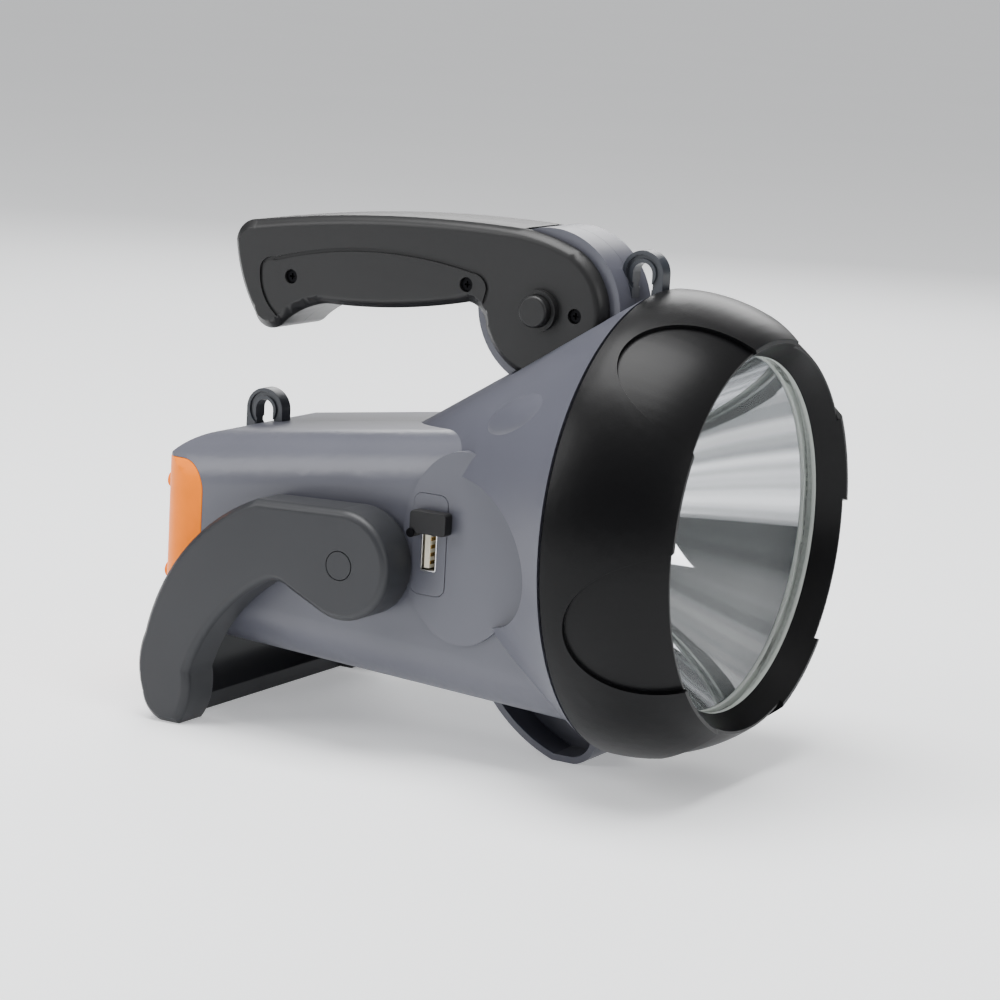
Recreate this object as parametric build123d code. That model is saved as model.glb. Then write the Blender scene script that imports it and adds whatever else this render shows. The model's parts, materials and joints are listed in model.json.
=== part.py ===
from build123d import *
import os
from math import cos, radians, sin, sqrt

# Rechargeable hand spotlight. Built with the front rim's centre at zero and the beam along +X, +Y to the
# lamp's left and +Z up. At the end every piece is moved so that the origin lies under the middle of the
# whole lamp, on the surface that it stands on. All lengths are millimetres and all angles degrees.

# Head, bezel and seam
seam_radius = 74.8
rim_step = 11.8
bezel_length = 38.0
dome_bulge = 3.4
funnel_step = 6.4
funnel_depth = 8.7
bezel_wall = 2.6
spigot_step = 6.4
spigot_length = 5.2
spigot_wall = 2.4
seam_gap = 1.3
panel_count = 5
panel_first_angle = 54.0
panel_reach = 31.0
panel_half_width = 23.4
panel_depth = 1.2

# Lens, gasket, reflector and lamp
glass_seat_step = 2.4
gasket_length = 5.6
lens_thickness = 2.6
lens_groove = 1.6
reflector_focus = 15.0
reflector_wall = 1.4
reflector_hole = 8.0
reflector_flange = 1.6
clamp_ring_length = 3.4
clamp_ring_wall = 3.0
lamp_board_radius = 11.0
lamp_board_thickness = 1.6
emitter_radius = 5.4
emitter_height = 3.2
sink_radius = 20.0
sink_base = 4.0
sink_length = 18.0
sink_fin = 1.8
sink_fin_gap = 3.2
seal_section = 1.6

# Housing shell
wall = 2.5
body_seam_step = 0.5
flare_slope = 0.61
flare_length = 88.0
tail_length = 205.0
tail_front = 44.0
tail_half_width = 43.5
tail_top_rear = 11.4
tail_top_front = 32.5
tail_low_rear = 54.0
tail_low_front = 61.9
tail_corner = 17.0
tail_end_round = 22.0
tail_plan_round = 16.0
split_gap = 0.1
cut_over = 5.0

# Side pads and the hollows they run into
pad_reach_x = 83.0
pad_low = 9.0
pad_half_length = 22.0
pad_half_height = 31.0
pad_stand_out = 1.2
scoop_x = 84.0
scoop_low = 10.0
scoop_half_length = 37.0
scoop_half_height = 24.0

# Front foot
ground_drop = 80.0
foot_half_width = 14.0
foot_wall = 2.2
foot_web = 3.0

# Carry handle and its lug
pivot_back = 76.0
pivot_rise = 13.1
lug_radius = 26.0
lug_half_width = 10.5
lug_hollow_radius = 22.0
lug_core_radius = 10.5
lug_skin = 2.5
ear_radius = 22.5
ear_gap = 0.5
ear_slot_gap = 0.9
handle_half_width = 16.0
grip_length = 120.0
grip_depth = 42.4
grip_bevel = 3.2
grip_wall = 2.6
groove_width = 1.3
groove_depth = 0.7
tube_radius = 7.0
tube_bore = 5.3
tube_end_gap = 0.4
running_gap = 0.05
button_radius = 5.1
button_boss_radius = 6.7
button_boss_height = 2.2
button_stand_out = 3.0
button_travel = 3.0
button_neck_radius = 3.4
spring_radius = 4.6
spring_wire = 0.8
spring_free_gap = 0.2
handle_screw_hole = 2.4
handle_screw_head = 2.1
handle_screw_shank = 1.3
handle_screw_sink = 3.0

# Strap loops
loop_radius = 7.3
loop_hole = 3.4
loop_half_width = 2.6
loop_groove = 0.7
front_loop_x = 47.2
front_loop_rise = 9.4
rear_loop_in = 16.4
rear_loop_rise = 4.3

# Stand
stand_pivot_x = 118.5
stand_pivot_drop = 17.3
stand_gap = 2.2
stand_leg_width = 15.0
stand_reach_share = 0.871
stand_bevel = 2.5
stand_eye_share = 0.25
stand_pin_radius = 4.0
stand_pin_head = 7.0
stand_pin_head_height = 3.0
stand_cap_radius = 4.6
stand_cap_height = 1.6
stand_washer_radius = 9.0
stand_washer_height = 1.9

# Rear light
rear_cover_length = 21.0
rear_cover_top = 5.0
rear_cover_low = 44.0
rear_cover_corner = 10.0
rear_cover_wall = 2.25
cover_gap = 0.2
stud_radius = 2.7
stud_height = 4.0
stud_side = 26.0
stud_top = 6.0
stud_low = 37.0
rear_notch = 3.2
rear_notch_depth = 1.0
rear_board_thickness = 1.6
rear_led_size = 5.0
rear_led_height = 2.2
rear_led_columns = 4
rear_led_rows = 2
rear_led_pitch = 14.0

# Charging socket panel on the right
plate_x = 95.0
plate_low = 9.3
plate_width = 12.5
plate_height = 32.5
plate_corner = 3.0
plate_thickness = 2.0
plate_proud = 0.2
fit_gap = 0.15
port_width = 5.7
port_height = 13.1
port_low = 11.3
port_depth = 12.0
port_wall = 0.4
port_corner = 0.8
tongue_width = 1.9
tongue_height = 11.1
tongue_shift = 0.7
contact_count = 4
contact_width = 1.1
contact_pitch = 2.5
contact_thickness = 0.3
cover_pin_x = 99.1
cover_pin_low = 5.2
cover_pin_radius = 0.7
cover_pin_head = 1.5
cover_pin_head_height = 0.6
cover_length = 13.2
cover_width = 7.2
cover_corner = 1.2
cover_height = 4.2
cover_lift = 0.4
board_thickness = 1.6
board_width = 24.0
board_height = 42.0

# Switch, charging inlet and pilot light on the left
switch_radius = 7.0
switch_stand_out = 2.4
switch_travel = 1.6
switch_low = 3.0
switch_flange = 1.4
switch_flange_height = 1.0
switch_housing_size = 12.0
switch_housing_height = 6.0
inlet_low = 25.0
inlet_radius = 4.6
inlet_bore = 2.8
inlet_pin = 1.0
inlet_depth = 11.0
inlet_floor = 2.0
inlet_flange = 1.0
inlet_flange_height = 0.8
pilot_low = 15.0
pilot_radius = 1.5
pilot_length = 9.0

# Battery
cell_radius = 9.2
cell_length = 65.0
cell_pitch = 19.0
cell_columns = 3
cell_rows = 2
cell_middle_low = 18.0
cell_front = 106.0
holder_wall = 1.6
holder_length = 9.0
tab_thickness = 0.3
tab_width = 7.0

# Housing screws
screw_head_radius = 3.0
screw_head_height = 2.2
screw_shank_radius = 1.5
screw_post_radius = 4.6
screw_sink = 4.5
screw_shares = ((-0.868, -0.662), (-0.868, -0.033), (-0.732, -0.762), (-0.478, -0.762), (-0.732, 0.132),
                (-0.605, 0.199))

# Values that follow
rim_radius = seam_radius - rim_step
funnel_radius = rim_radius - funnel_step
glass_seat_radius = rim_radius - glass_seat_step
spigot_radius = seam_radius - spigot_step
body_seam_radius = seam_radius - body_seam_step
lens_front = -funnel_depth - lens_groove
gasket_back = -funnel_depth - gasket_length
reflector_depth = (funnel_radius - running_gap) ** 2 / (4 * reflector_focus)
reflector_start = gasket_back - reflector_depth
pad_face = tail_half_width + pad_stand_out
leg_inner = tail_half_width + stand_gap
leg_outer = leg_inner + stand_leg_width
ear_inner = lug_half_width + ear_gap
total_length = tail_length + stud_height
body_front = -bezel_length - seam_gap
tube_room_end = handle_half_width - grip_wall
pivot_height = body_seam_radius - flare_slope * (pivot_back + body_front) + pivot_rise
front_loop_z = body_seam_radius - flare_slope * (front_loop_x + body_front) + front_loop_rise
rear_loop_x = tail_length - rear_loop_in
rear_loop_z = tail_top_rear + (tail_top_front - tail_top_rear) * rear_loop_in / (tail_length - tail_front) \
    + rear_loop_rise
stand_length = (ground_drop - stand_pivot_drop) / stand_reach_share
stand_eye_radius = stand_length * stand_eye_share
screw_places = [(x_share * tail_length, z_share * tail_low_front) for x_share, z_share in screw_shares]


def slab(face, inner, outer):
    """Prism of a side-view face, from one distance right of the middle plane to another."""
    placed = Pos(0, -inner, 0) * (Plane.XZ * face)
    return extrude(placed, amount=outer - inner, dir=(0, -1, 0))


def bevel_between(face, inset_face, inner, outer):
    """Bevelled rim from a side-view face to a smaller one further out on the right."""
    start = Pos(0, -inner, 0) * (Plane.XZ * face)
    end = Pos(0, -outer, 0) * (Plane.XZ * inset_face)
    return loft([start, end], ruled=True)


def outline(points):
    """Closed flat face through corner points."""
    return make_face(Polyline(*points, close=True))


def rod_y(x, z, radius, start, end):
    """Round bar along Y between two Y positions."""
    return extrude(Pos(x, start, z) * (Plane.XZ * Circle(radius)), amount=end - start, dir=(0, 1, 0))


def tube_x(start, end, inner, outer):
    """Tube along X between two X positions."""
    section = Circle(outer) - Circle(inner) if inner else Circle(outer)
    return extrude(Pos(start, 0, 0) * (Plane.YZ * section), amount=end - start, dir=(1, 0, 0))


def turned(*lines):
    """Solid turned about the beam axis from a profile of (x, radius)."""
    return revolve(make_face(Curve() + list(lines)), axis=Axis.X)


def box_between(x_pair, y_pair, z_pair):
    """Box between pairs of limits."""
    size = [pair[1] - pair[0] for pair in (x_pair, y_pair, z_pair)]
    middle = [(pair[1] + pair[0]) / 2 for pair in (x_pair, y_pair, z_pair)]
    return Pos(*middle) * Box(*size)


def opposite(shape):
    """The same shape on the other side of the middle plane."""
    return mirror(shape, about=Plane.XZ)


def dome_profile(inset):
    """Outer curve of the bezel from its seam to its rim, moved inwards by an inset."""
    start = (-bezel_length, seam_radius - inset)
    end = (-inset, rim_radius - inset)
    middle = ((start[0] + end[0]) / 2 + dome_bulge / 3, (start[1] + end[1]) / 2 + dome_bulge)
    return start, middle, end


def dome_solid(inset):
    """Full dome inside the moved curve."""
    start, middle, end = dome_profile(inset)
    curve = ThreePointArc(start, middle, end)
    return turned(curve, Polyline(end, (end[0], 0), (start[0], 0), start))


def make_bezel():
    """Black front bezel with its funnel, spigot and five shallow egg-shaped panels."""
    body = dome_solid(0)
    deep = -funnel_depth - cut_over
    funnel = turned(Polyline((0, 0), (0, rim_radius - bezel_wall / 2), (-funnel_depth, funnel_radius),
                             (deep, funnel_radius), (deep, 0), (0, 0)))
    seat = tube_x(-bezel_length, -funnel_depth, 0, glass_seat_radius)
    hollow_back = gasket_back - reflector_flange - clamp_ring_length
    hollow = dome_solid(bezel_wall) & box_between((-bezel_length, hollow_back), (-seam_radius, seam_radius),
                                                  (-seam_radius, seam_radius))
    body = body - funnel - seat - hollow
    spigot = tube_x(-bezel_length - spigot_length, -bezel_length + bezel_wall, spigot_radius - spigot_wall,
                    spigot_radius)
    web = tube_x(-bezel_length, -bezel_length + bezel_wall, spigot_radius - spigot_wall,
                 seam_radius - bezel_wall / 2)
    body = body + spigot + web
    skin = dome_solid(0) - dome_solid(panel_depth)
    for number in range(panel_count):
        angle = panel_first_angle + number * 360 / panel_count
        egg = extrude(Plane.XY * Ellipse(panel_reach, panel_half_width), amount=seam_radius + cut_over,
                      dir=(0, 0, 1))
        body = body - (skin & Rot(angle - 90, 0, 0) * egg)
    return body


def reflector_point(radius, thickness):
    """Point of the bowl at a radius, on the inside or moved out by the wall."""
    along = radius ** 2 / (4 * reflector_focus)
    slope = radius / (2 * reflector_focus)
    length = sqrt(1 + slope ** 2)
    return (reflector_start + along - thickness / length, radius + thickness * slope / length)


def make_reflector():
    """Deep mirror bowl with its flange."""
    outer_radius = funnel_radius - running_gap
    steps = [reflector_hole + (outer_radius - reflector_hole) * share / 8 for share in range(9)]
    inside = [reflector_point(radius, 0) for radius in steps]
    outside = [reflector_point(radius, reflector_wall) for radius in steps]
    bowl = turned(Spline(*inside), Line(inside[-1], outside[-1]), Spline(*outside), Line(outside[0], inside[0]))
    flange = tube_x(gasket_back - reflector_flange, gasket_back, outer_radius, glass_seat_radius - fit_gap)
    front = tube_x(gasket_back - reflector_flange, gasket_back + cut_over, 0, outer_radius)
    rim = tube_x(gasket_back - reflector_flange, gasket_back, outer_radius - reflector_wall, outer_radius)
    bowl_room = turned(Spline(*inside), Polyline(inside[-1], (inside[-1][0], 0), (inside[0][0], 0), inside[0]))
    return (bowl - front) + (bowl & front) + flange + (rim - bowl_room)


lamp_front = reflector_point(reflector_hole, reflector_wall)[0]


def make_gasket():
    """Pale sealing ring that grips the lens."""
    ring = tube_x(gasket_back, -funnel_depth, funnel_radius, glass_seat_radius)
    groove = tube_x(lens_front - lens_thickness, lens_front, 0, glass_seat_radius - bezel_wall / 2)
    return ring - groove


def make_heat_sink():
    """Aluminium sink behind the lamp board, with straight fins."""
    back = lamp_front - lamp_board_thickness
    base = tube_x(back - sink_base, back, 0, sink_radius)
    block = tube_x(back - sink_length, back - sink_base, 0, sink_radius)
    pitch = sink_fin + sink_fin_gap
    count = int(2 * sink_radius / pitch)
    fins = base
    for number in range(count):
        side = (number - (count - 1) / 2) * pitch
        fin = box_between((back - sink_length, back - sink_base), (side - sink_fin / 2, side + sink_fin / 2),
                          (-sink_radius, sink_radius))
        fins = fins + (fin & block)
    return fins


def tail_solid(inset):
    """Rounded, slightly tapered box of the battery housing, moved inwards by an inset."""
    rear = -tail_length + inset
    front = -tail_front - inset
    low = (-tail_low_rear + inset, -tail_low_front + inset)
    high = (tail_top_rear - inset, tail_top_front - inset)
    half = tail_half_width - inset
    sections = []
    for x, bottom, top in ((rear, low[0], high[0]), (front, low[1], high[1])):
        section = RectangleRounded(2 * half, top - bottom, tail_corner - inset)
        sections.append(Pos(x, 0, (top + bottom) / 2) * (Plane.YZ * section))
    block = loft(sections, ruled=True)
    side = outline(((rear, low[0]), (front, low[1]), (front, high[1]), (rear, high[0])))
    side = fillet(side.vertices().group_by(Axis.X)[0], tail_end_round - inset)
    plan = Rectangle(tail_length, 2 * half)
    plan = fillet(plan.vertices().group_by(Axis.X)[0], tail_plan_round - inset)
    side_prism = extrude(Plane.XZ * side, amount=tail_half_width, both=True)
    plan_prism = extrude(Pos(rear + tail_length / 2, 0, 0) * plan, amount=tail_length / 2, both=True)
    return block & side_prism & plan_prism


def flare_solid(inset):
    """Cone that opens from the tail to the seam, moved inwards by an inset."""
    slant = sqrt(1 + flare_slope ** 2) * inset
    front = body_seam_radius - slant
    back = body_seam_radius - flare_slope * flare_length - slant
    end = body_front - flare_length
    return turned(Polyline((body_front, 0), (body_front, front), (end, back), (end, 0), (body_front, 0)))


def foot_point(x_share, z_share, inset, forward, up):
    """Place on the front foot's outline, in shares of the drop to the ground, moved inwards by an inset."""
    return (x_share * ground_drop + inset * forward, z_share * ground_drop + inset * up)


def foot_face(inset):
    """Side view of the front foot, moved inwards by an inset."""
    back = foot_point(-1.16, -0.69, inset, 0.87, 0.5)
    sole_back = foot_point(-0.79, -1.0, inset, 0.2, 1)
    sole_front = foot_point(-0.69, -1.0, inset, -0.2, 1)
    front = foot_point(-0.6, -0.84, inset, -1, 0)
    top = foot_point(-0.7, -0.6, inset, -0.5, 0)
    lines = [ThreePointArc(back, foot_point(-1.0, -0.883, inset, 0.6, 0.8), sole_back), Line(sole_back, sole_front),
             ThreePointArc(sole_front, foot_point(-0.615, -0.955, inset, -0.7, 0.7), front), Line(front, top),
             Line(top, back)]
    return make_face(Wire([line.edge() for line in lines]))


def foot_solid():
    """Skid under the flare: a bent strip round a middle web."""
    block = extrude(Plane.XZ * foot_face(0), amount=foot_half_width, both=True)
    pocket = slab(foot_face(foot_wall), foot_web / 2, foot_half_width + cut_over)
    return block - pocket - opposite(pocket)


def make_housing():
    """Both housing halves as one hollow body, before it is split."""
    outer = tail_solid(0) + flare_solid(0)
    pad_face_shape = Pos(-pad_reach_x, -pad_low) * Ellipse(pad_half_length, pad_half_height)
    pad = slab(pad_face_shape, tail_half_width - wall, pad_face)
    outer = outer + pad + opposite(pad) + foot_solid()
    scoop_shape = Pos(-scoop_x, -scoop_low) * Ellipse(scoop_half_length, scoop_half_height)
    scoop = slab(scoop_shape, pad_face, seam_radius + cut_over)
    outer = outer - scoop - opposite(scoop)
    lug = rod_y(-pivot_back, pivot_height, lug_radius, -lug_half_width, lug_half_width)
    outer = outer + lug
    keep_shape = Pos(-scoop_x, -scoop_low) * Ellipse(scoop_half_length + wall, scoop_half_height + wall)
    keep = slab(keep_shape, tail_half_width - wall, seam_radius + cut_over)
    slot_outer = handle_half_width + ear_slot_gap
    slot_radius = ear_radius + ear_slot_gap
    lug_keep = rod_y(-pivot_back, pivot_height, lug_radius + wall, -slot_outer - wall, slot_outer + wall)
    inner = tail_solid(wall) + flare_solid(wall)
    inner = inner - keep - opposite(keep) - lug_keep
    body = outer - inner
    slot = rod_y(-pivot_back, pivot_height, slot_radius, lug_half_width, slot_outer)
    core = rod_y(-pivot_back, pivot_height, lug_hollow_radius, -lug_half_width + lug_skin,
                 lug_half_width - lug_skin)
    core = core - rod_y(-pivot_back, pivot_height, lug_core_radius, -lug_half_width, lug_half_width)
    tube_hole = rod_y(-pivot_back, pivot_height, tube_radius, -seam_radius, seam_radius)
    return body - slot - opposite(slot) - core - tube_hole


def rear_cover_block(inset):
    """Block of the rear light cover, moved inwards by an inset."""
    low = -rear_cover_low + inset
    high = rear_cover_top - inset
    length = rear_cover_length + tail_length
    shape = RectangleRounded(2 * length, high - low, rear_cover_corner - inset)
    placed = Pos(-tail_length + rear_cover_length - inset - length, (high + low) / 2) * shape
    return extrude(Plane.XZ * placed, amount=tail_half_width + cut_over, both=True)


def make_rear_cover():
    """Amber rear cover with four round feet."""
    shell = tail_solid(0) & rear_cover_block(cover_gap)
    front = -tail_length + rear_cover_length
    open_front = box_between((front - rear_cover_wall * 2, front + cut_over), (-tail_half_width, tail_half_width),
                             (-rear_cover_low, rear_cover_top))
    room = tail_solid(rear_cover_wall) & rear_cover_block(rear_cover_wall + cover_gap)
    room = room + (open_front & tail_solid(rear_cover_wall)
                   & (Pos(rear_cover_wall * 2, 0, 0) * rear_cover_block(rear_cover_wall + cover_gap)))
    cover = shell - room
    for side in (-stud_side, stud_side):
        for height in (-stud_top, -stud_low):
            start = -tail_length + rear_cover_wall
            stud = extrude(Pos(start, side, height) * (Plane.YZ * Circle(stud_radius)),
                           amount=-stud_height - rear_cover_wall, dir=(1, 0, 0))
            cover = cover + (stud - room)
    middle = (rear_cover_top - rear_cover_low) / 2
    notch = box_between((-tail_length - cut_over, -tail_length + rear_notch_depth),
                        (-tail_half_width, tail_half_width), (middle - rear_notch, middle + rear_notch))
    return cover - notch


def make_rear_board():
    """White light board that closes the mouth behind the amber cover."""
    front = -tail_length + rear_cover_length - rear_cover_wall
    slice_box = box_between((front - rear_board_thickness, front), (-tail_half_width, tail_half_width),
                            (-tail_low_front, tail_top_front))
    return tail_solid(rear_cover_wall + fit_gap) & rear_cover_block(rear_cover_wall + cover_gap + fit_gap) \
        & slice_box


def make_rear_leds():
    """Two rows of square emitters on the rear board."""
    front = -tail_length + rear_cover_length - rear_cover_wall - rear_board_thickness
    middle = (rear_cover_top - rear_cover_low) / 2
    lamps = []
    for row in range(rear_led_rows):
        for column in range(rear_led_columns):
            side = (column - (rear_led_columns - 1) / 2) * rear_led_pitch
            height = middle + (row - (rear_led_rows - 1) / 2) * rear_led_pitch
            lamps.append(box_between((front - rear_led_height, front),
                                     (side - rear_led_size / 2, side + rear_led_size / 2),
                                     (height - rear_led_size / 2, height + rear_led_size / 2)))
    return Compound(children=lamps)


def grip_point(length_share, depth_share, inset=0, forward=0, up=0):
    """Place on the handle's outline, from its pivot, moved inwards by an inset where one is given."""
    return (-pivot_back - length_share * grip_length + inset * forward,
            pivot_height + depth_share * grip_depth + inset * up)


def ear_point(angle, radius=ear_radius):
    """Place on the rounded ear of the handle."""
    return (-pivot_back + radius * cos(radians(angle)), pivot_height + radius * sin(radians(angle)))


def handle_face(inset):
    """Side view of the whole carry handle, moved inwards by an inset."""
    rear = grip_point(0.997, 0.26, inset, 1, 0)
    shoulder = grip_point(0.925, 0.434, inset, 0.3, -1)
    neck = grip_point(0.142, 0.594, inset, 0, -1)
    brow = ear_point(62, ear_radius - inset)
    heel = ear_point(200, ear_radius - inset)
    under_front = grip_point(0.232, -0.01, inset, 0.2, 1)
    under_back = grip_point(0.685, -0.16, inset, 0, 1)
    hook = grip_point(0.825, -0.35, inset, -0.4, 1)
    tip = grip_point(0.925, -0.3, inset, 0.6, 0.8)
    lines = [ThreePointArc(rear, grip_point(0.972, 0.388, inset, 0.8, -0.6), shoulder),
             ThreePointArc(shoulder, grip_point(0.533, 0.566, inset, 0, -1), neck),
             ThreePointArc(neck, ear_point(86, ear_radius + ear_gap - inset), brow),
             ThreePointArc(brow, ear_point(-49, ear_radius - inset), heel),
             ThreePointArc(heel, grip_point(0.197, -0.055, inset, 0.8, 0.8), under_front),
             ThreePointArc(under_front, grip_point(0.46, -0.125, inset, 0, 1), under_back),
             ThreePointArc(under_back, grip_point(0.76, -0.225, inset, -0.4, 1), hook),
             ThreePointArc(hook, grip_point(0.885, -0.405, inset, 0, 1), tip),
             ThreePointArc(tip, grip_point(0.975, -0.02, inset, 1, 0.2), rear)]
    return make_face(Wire([line.edge() for line in lines]))


def grip_panel(inset):
    """Side view inside the arched groove of the grip; its lower side runs below the grip."""
    rear_end = grip_point(0.815, -0.45, inset, 1, 0)
    rear_low = grip_point(0.84, -0.29, inset, 0.92, 0.39)
    rear_high = grip_point(0.896, 0.08, inset, 1, 0)
    top_rear = grip_point(0.848, 0.163, inset, 0.3, -0.95)
    top_front = grip_point(0.21, 0.248, inset, -0.15, -0.99)
    front = grip_point(0.157, 0.108, inset, -1, 0)
    front_end = grip_point(0.187, -0.22, inset, -0.97, 0.25)
    lines = [Line(rear_end, rear_low),
             ThreePointArc(rear_low, grip_point(0.885, -0.13, inset, 0.97, 0.25), rear_high),
             ThreePointArc(rear_high, grip_point(0.885, 0.13, inset, 0.8, -0.6), top_rear),
             ThreePointArc(top_rear, grip_point(0.53, 0.318, inset, 0, -1), top_front),
             ThreePointArc(top_front, grip_point(0.172, 0.2, inset, -0.7, -0.7), front),
             Line(front, front_end), Line(front_end, rear_end)]
    return make_face(Wire([line.edge() for line in lines]))


handle_screw_shares = ((0.792, 0.024), (0.23, 0.127), (-0.105, -0.012))


def make_handle():
    """Both handle halves as one hollow body, before it is split."""
    flank = handle_half_width - grip_bevel
    solid = extrude(Plane.XZ * handle_face(0), amount=flank, both=True)
    bevel = bevel_between(handle_face(0), handle_face(grip_bevel), flank, handle_half_width)
    solid = solid + bevel + opposite(bevel)
    boss = rod_y(-pivot_back, pivot_height, button_boss_radius, -handle_half_width - button_boss_height,
                 handle_half_width + button_boss_height)
    solid = solid + boss
    lug_room = rod_y(-pivot_back, pivot_height, lug_radius + ear_slot_gap, -ear_inner, ear_inner)
    tube_room = rod_y(-pivot_back, pivot_height, tube_radius + running_gap, -tube_room_end, tube_room_end)
    button_room = rod_y(-pivot_back, pivot_height, tube_bore, -handle_half_width - cut_over,
                        handle_half_width + cut_over)
    solid = solid - lug_room - tube_room - button_room
    groove = slab(grip_panel(0) - grip_panel(groove_width), handle_half_width - groove_depth,
                  handle_half_width + cut_over)
    solid = solid - groove - opposite(groove)
    room = handle_room()
    solid = solid - (room - grip_posts())
    for length_share, depth_share in handle_screw_shares:
        x, z = grip_point(length_share, depth_share)
        sink = rod_y(x, z, handle_screw_hole, -handle_half_width - cut_over,
                     -handle_half_width + handle_screw_sink)
        shank = rod_y(x, z, handle_screw_shank, -handle_half_width, ear_inner)
        solid = solid - sink - shank
    return solid


def handle_room():
    """Hollow of the grip between its side walls."""
    places = (grip_point(0.93, 0.33), grip_point(0.36, 0.46), grip_point(0.3, 0.08), grip_point(0.7, -0.06),
              grip_point(0.86, -0.28), grip_point(0.93, -0.1))
    return extrude(Plane.XZ * outline(places), amount=handle_half_width - grip_wall - grip_bevel / 2, both=True)


def grip_posts():
    """Posts that stay in the hollow of the grip round its screws."""
    posts = None
    for length_share, depth_share in handle_screw_shares[:2]:
        x, z = grip_point(length_share, depth_share)
        post = rod_y(x, z, handle_screw_hole + grip_wall, -handle_half_width, handle_half_width)
        posts = post if posts is None else posts + post
    return posts


def make_screws(places, head, head_height, shank, head_out, tip):
    """Group of equal screws, driven from the right, each with a crossed recess."""
    screws = []
    for x, z in places:
        screw = rod_y(x, z, head, -head_out, -head_out + head_height)
        screw = screw + rod_y(x, z, shank, -head_out, tip)
        slot_width = head / 4
        for size_x, size_z in ((head, slot_width), (slot_width, head)):
            screw = screw - box_between((x - size_x / 2, x + size_x / 2),
                                        (-head_out - head, -head_out + head_height / 2),
                                        (z - size_z / 2, z + size_z / 2))
        screws.append(screw)
    return Compound(children=[part for screw in screws for part in screw.solids()])


def make_loop(x, z, housing):
    """Upright strap loop that stands on the housing."""
    shape = Pos(x, z) * Circle(loop_radius)
    shape = shape + Pos(x, z - loop_radius) * Rectangle(2 * loop_radius, 2 * loop_radius)
    hole = Pos(x, z) * Circle(loop_hole)
    hole = hole + Pos(x, z - loop_radius) * Rectangle(2 * loop_hole, 2 * loop_radius)
    loop = extrude(Plane.XZ * (shape - hole), amount=loop_half_width, both=True)
    ridge = (loop_radius + loop_hole) / 2
    line = Pos(x, z) * (Circle(ridge + loop_groove) - Circle(ridge - loop_groove))
    groove = slab(line, loop_half_width - loop_groove, loop_half_width + cut_over)
    loop = loop - groove - opposite(groove)
    return (loop - housing).solids().sort_by(Axis.Z)[-1]


def stand_point(back_share, down_share, inset=0, forward=0, up=0):
    """Place on the stand's outline, from its pivot, in shares of its leg, moved inwards by an inset."""
    return (-stand_pivot_x - back_share * stand_length + inset * forward,
            -stand_pivot_drop - down_share * stand_length + inset * up)


def stand_eye(angle, inset=0):
    """Place on the round eye of the stand."""
    radius = stand_eye_radius - inset
    return (-stand_pivot_x + radius * cos(radians(angle)), -stand_pivot_drop + radius * sin(radians(angle)))


def stand_face(inset):
    """Side view of one bent leg of the stand, moved inwards by an inset."""
    foot_share = stand_reach_share
    top = stand_eye(97, inset)
    low = stand_eye(-115, inset)
    elbow = stand_point(0.46, -0.232, inset, 0.2, -1)
    shin = stand_point(1.055, 0.47, inset, 1, -0.3)
    heel = stand_point(1.06, 0.75, inset, 1, 0.2)
    toe = stand_point(0.95, foot_share, inset, 0.3, 1)
    sole = stand_point(0.845, foot_share, inset, -0.6, 1)
    instep = stand_point(0.795, 0.62, inset, -1, 0.3)
    knee = stand_point(0.42, 0.15, inset, -0.2, 1)
    fork = stand_point(0.27, 0.15, inset, 0.2, 1)
    lines = [Line(top, elbow),
             ThreePointArc(elbow, stand_point(0.83, 0.03, inset, 0.7, -0.7), shin),
             ThreePointArc(shin, stand_point(1.085, 0.62, inset, 1, 0), heel),
             ThreePointArc(heel, stand_point(1.025, foot_share - 0.045, inset, 0.7, 0.7), toe),
             Line(toe, sole),
             ThreePointArc(sole, stand_point(0.8, foot_share - 0.09, inset, -1, 0.2), instep),
             ThreePointArc(instep, stand_point(0.65, 0.35, inset, -0.7, 0.7), knee),
             ThreePointArc(knee, stand_point(0.345, 0.125, inset, 0, 1), fork),
             Line(fork, low),
             ThreePointArc(low, stand_eye(-10, inset), top)]
    return make_face(Wire([line.edge() for line in lines]))


def make_stand():
    """U-shaped stand: two bent legs and the plate that joins their feet."""
    flank = leg_outer - stand_bevel
    leg = slab(stand_face(0), leg_inner, flank)
    leg = leg + bevel_between(stand_face(0), stand_face(stand_bevel), flank, leg_outer)
    leg = leg - rod_y(-stand_pivot_x, -stand_pivot_drop, stand_pin_radius + running_gap, -leg_outer, -leg_inner)
    leg = leg - rod_y(-stand_pivot_x, -stand_pivot_drop, stand_cap_radius + fit_gap, -leg_outer - cut_over,
                      -leg_outer + stand_cap_height)
    foot_share = stand_reach_share
    face = outline((stand_point(1.055, 0.56), stand_point(1.07, 0.7), stand_point(1.0, foot_share - 0.045),
                    stand_point(0.9, foot_share - 0.005), stand_point(0.9, foot_share - 0.08),
                    stand_point(0.965, foot_share - 0.12), stand_point(1.01, 0.68), stand_point(0.995, 0.56)))
    bar = extrude(Plane.XZ * face, amount=leg_inner, both=True)
    return leg + opposite(leg) + bar


def make_stand_pin(side):
    """Pivot pin of one leg, with its head inside the housing wall."""
    inside = tail_half_width - wall
    pin = rod_y(-stand_pivot_x, -stand_pivot_drop, stand_pin_radius, -leg_outer + stand_cap_height, -inside)
    pin = pin + rod_y(-stand_pivot_x, -stand_pivot_drop, stand_pin_head, -inside, -inside + stand_pin_head_height)
    return pin if side < 0 else opposite(pin)


def make_stand_cap(side):
    """Flush round cap over one pivot pin."""
    cap = rod_y(-stand_pivot_x, -stand_pivot_drop, stand_cap_radius, -leg_outer,
                -leg_outer + stand_cap_height - running_gap)
    return cap if side < 0 else opposite(cap)


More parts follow.
